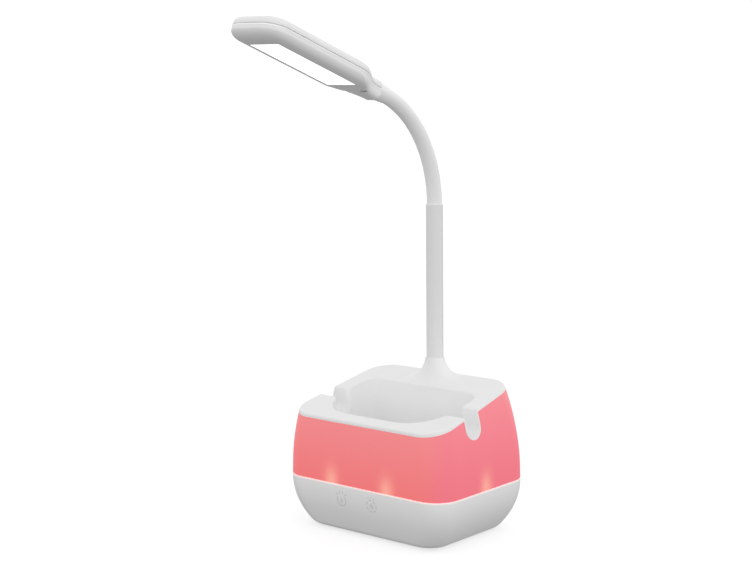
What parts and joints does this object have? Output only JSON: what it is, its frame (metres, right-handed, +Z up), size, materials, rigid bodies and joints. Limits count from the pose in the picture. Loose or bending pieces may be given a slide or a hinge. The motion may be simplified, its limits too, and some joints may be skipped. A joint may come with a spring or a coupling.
{
  "type": "desk lamp",
  "caption": "Rechargeable desk lamp: slim LED head on a gooseneck and stem over a rounded box base with an open pen well, a phone slot and a glowing band.",
  "frame": {"origin": "on the desk, under the middle of the base, at the mat's underside", "axes": "+Z up; the lamp faces -Y, where the head reaches out over the well; +X to the lamp's right seen from the front"},
  "size_m": [0.1276, 0.1779, 0.3154],
  "materials": {
    "white_shell": "satin moulded ABS, white",
    "white_cover": "satin moulded ABS, white",
    "pink_diffuser": "milky light-diffusing plastic lit coral pink from inside",
    "mat_rubber": "matt silicone rubber, pale grey",
    "screw_steel": "zinc-plated steel",
    "ballast_steel": "plain sheet steel",
    "cell_wrap": "shrink-wrapped steel can",
    "inner_plastic": "black moulded plastic",
    "board": "green solder mask on glass-epoxy",
    "chip_black": "black component bodies",
    "socket_steel": "tin-plated steel",
    "spring_steel": "plated steel",
    "board_white": "white solder mask",
    "led_lens": "phosphor-filled lens",
    "stem_white": "white powder-coated steel tube",
    "lead_wire": "insulated wire",
    "head_white": "satin moulded ABS, white",
    "diffuser_milk": "milky polycarbonate, lit",
    "black_screw": "black-oxide steel",
    "neck_silicone": "smooth silicone sleeve, white",
    "hose_steel": "coiled steel hose"
  },
  "bodies": {
    "base": {"lower_shell": "white_shell", "base_mat": "mat_rubber", "glow_band": "pink_diffuser", "top_cover": "white_cover", "base_screws": "screw_steel", "ballast_plate": "ballast_steel", "battery_cell": "cell_wrap", "battery_tray": "inner_plastic", "main_board": "board", "board_parts": "chip_black", "charging_socket": "socket_steel", "board_screws": "screw_steel", "touch_board": "board", "touch_springs": "spring_steel", "mood_board": "board_white", "mood_lights": "led_lens", "stem_tube": "stem_white", "stem_cap": "stem_white", "stem_washer": "spring_steel", "stem_nut": "spring_steel", "stem_leads": "lead_wire", "neck_sleeve_root": "neck_silicone", "neck_hose_root": "hose_steel"},
    "link_01": {"neck_sleeve_01": "neck_silicone", "neck_hose_01": "hose_steel"},
    "link_02": {"neck_sleeve_02": "neck_silicone", "neck_hose_02": "hose_steel"},
    "link_03": {"neck_sleeve_03": "neck_silicone", "neck_hose_03": "hose_steel"},
    "link_04": {"neck_sleeve_04": "neck_silicone", "neck_hose_04": "hose_steel"},
    "link_05": {"neck_sleeve_05": "neck_silicone", "neck_hose_05": "hose_steel"},
    "link_06": {"neck_sleeve_06": "neck_silicone", "neck_hose_06": "hose_steel"},
    "link_07": {"neck_sleeve_07": "neck_silicone", "neck_hose_07": "hose_steel"},
    "link_08": {"neck_sleeve_08": "neck_silicone", "neck_hose_08": "hose_steel"},
    "link_09": {"neck_sleeve_09": "neck_silicone", "neck_hose_09": "hose_steel"},
    "link_10": {"neck_sleeve_10": "neck_silicone", "neck_hose_10": "hose_steel"},
    "head": {"head_lower_cover": "head_white", "head_top_cover": "head_white", "diffuser": "diffuser_milk", "led_board": "board_white", "head_lights": "led_lens", "neck_clamp": "spring_steel", "head_screws": "black_screw", "head_leads": "lead_wire", "neck_ferrule": "neck_silicone", "neck_sleeve_end": "neck_silicone", "neck_hose_end": "hose_steel"}
  },
  "joints": [
    {"name": "neck_bend_1", "type": "hinge", "parent": "base", "child": "link_01", "pos_m": [0, 0.0302, 0.2008], "axis": [1, 0.0001, 0], "range_deg": [-15, 10]},
    {"name": "neck_sway_1", "type": "hinge", "parent": "link_01", "child": "link_02", "pos_m": [0, 0.02974, 0.20902], "axis": [0, 0.9938, 0.111], "range_deg": [-10, 10]},
    {"name": "neck_bend_2", "type": "hinge", "parent": "link_02", "child": "link_03", "pos_m": [0, 0.02837, 0.21715], "axis": [1, 0.0001, 0], "range_deg": [-15, 10]},
    {"name": "neck_sway_2", "type": "hinge", "parent": "link_03", "child": "link_04", "pos_m": [0, 0.02611, 0.22507], "axis": [0, 0.9448, 0.3275], "range_deg": [-10, 10]},
    {"name": "neck_bend_3", "type": "hinge", "parent": "link_04", "child": "link_05", "pos_m": [0, 0.02299, 0.23269], "axis": [1, 0.0001, 0], "range_deg": [-15, 10]},
    {"name": "neck_sway_3", "type": "hinge", "parent": "link_05", "child": "link_06", "pos_m": [0, 0.01903, 0.23992], "axis": [0, 0.8493, 0.5279], "range_deg": [-10, 10]},
    {"name": "neck_bend_4", "type": "hinge", "parent": "link_06", "child": "link_07", "pos_m": [0, 0.0143, 0.24666], "axis": [1, 0.0001, 0], "range_deg": [-15, 10]},
    {"name": "neck_sway_4", "type": "hinge", "parent": "link_07", "child": "link_08", "pos_m": [0, 0.00885, 0.25284], "axis": [0, 0.7119, 0.7023], "range_deg": [-10, 10]},
    {"name": "neck_bend_5", "type": "hinge", "parent": "link_08", "child": "link_09", "pos_m": [0, 0.00275, 0.25837], "axis": [1, 0.0001, 0], "range_deg": [-15, 10]},
    {"name": "neck_sway_5", "type": "hinge", "parent": "link_09", "child": "link_10", "pos_m": [0, -0.00393, 0.26319], "axis": [0, 0.5394, 0.842], "range_deg": [-10, 10]},
    {"name": "neck_bend_6", "type": "hinge", "parent": "link_10", "child": "head", "pos_m": [0, -0.0111, 0.26725], "axis": [1, 0.0001, 0], "range_deg": [-15, 10]}
  ],
  "couplings": [
    {"joint": "neck_bend_2", "follows": "neck_bend_1", "ratio": 1},
    {"joint": "neck_sway_2", "follows": "neck_sway_1", "ratio": 1},
    {"joint": "neck_bend_3", "follows": "neck_bend_1", "ratio": 1},
    {"joint": "neck_sway_3", "follows": "neck_sway_1", "ratio": 1},
    {"joint": "neck_bend_4", "follows": "neck_bend_1", "ratio": 1},
    {"joint": "neck_sway_4", "follows": "neck_sway_1", "ratio": 1},
    {"joint": "neck_bend_5", "follows": "neck_bend_1", "ratio": 1},
    {"joint": "neck_sway_5", "follows": "neck_sway_1", "ratio": 1},
    {"joint": "neck_bend_6", "follows": "neck_bend_1", "ratio": 1}
  ]
}
